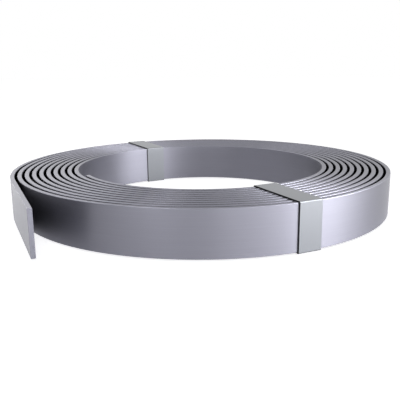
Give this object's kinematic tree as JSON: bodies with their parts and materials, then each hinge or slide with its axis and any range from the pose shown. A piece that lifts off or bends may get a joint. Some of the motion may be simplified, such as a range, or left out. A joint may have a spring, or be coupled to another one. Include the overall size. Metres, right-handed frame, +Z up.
{
  "type": "steel coil",
  "caption": "Flat steel strip wound on edge into an open round coil with a sprung straight tail, tied by flat steel bands; stock for earthing conductors and brackets.",
  "frame": {"origin": "on the axis of the winding, at the floor under the two bands", "axes": "+Z up along the axis of the coil, which lies flat; -Y towards the side where the tail points"},
  "size_m": [0.2851, 0.2826, 0.0316],
  "materials": {
    "strip_steel": "satin steel, fine grain along the strip",
    "band_steel": "smooth matt steel strapping"
  },
  "bodies": {
    "root": {"steel_strip": "strip_steel", "front_band": "band_steel", "back_band": "band_steel"}
  },
  "joints": []
}
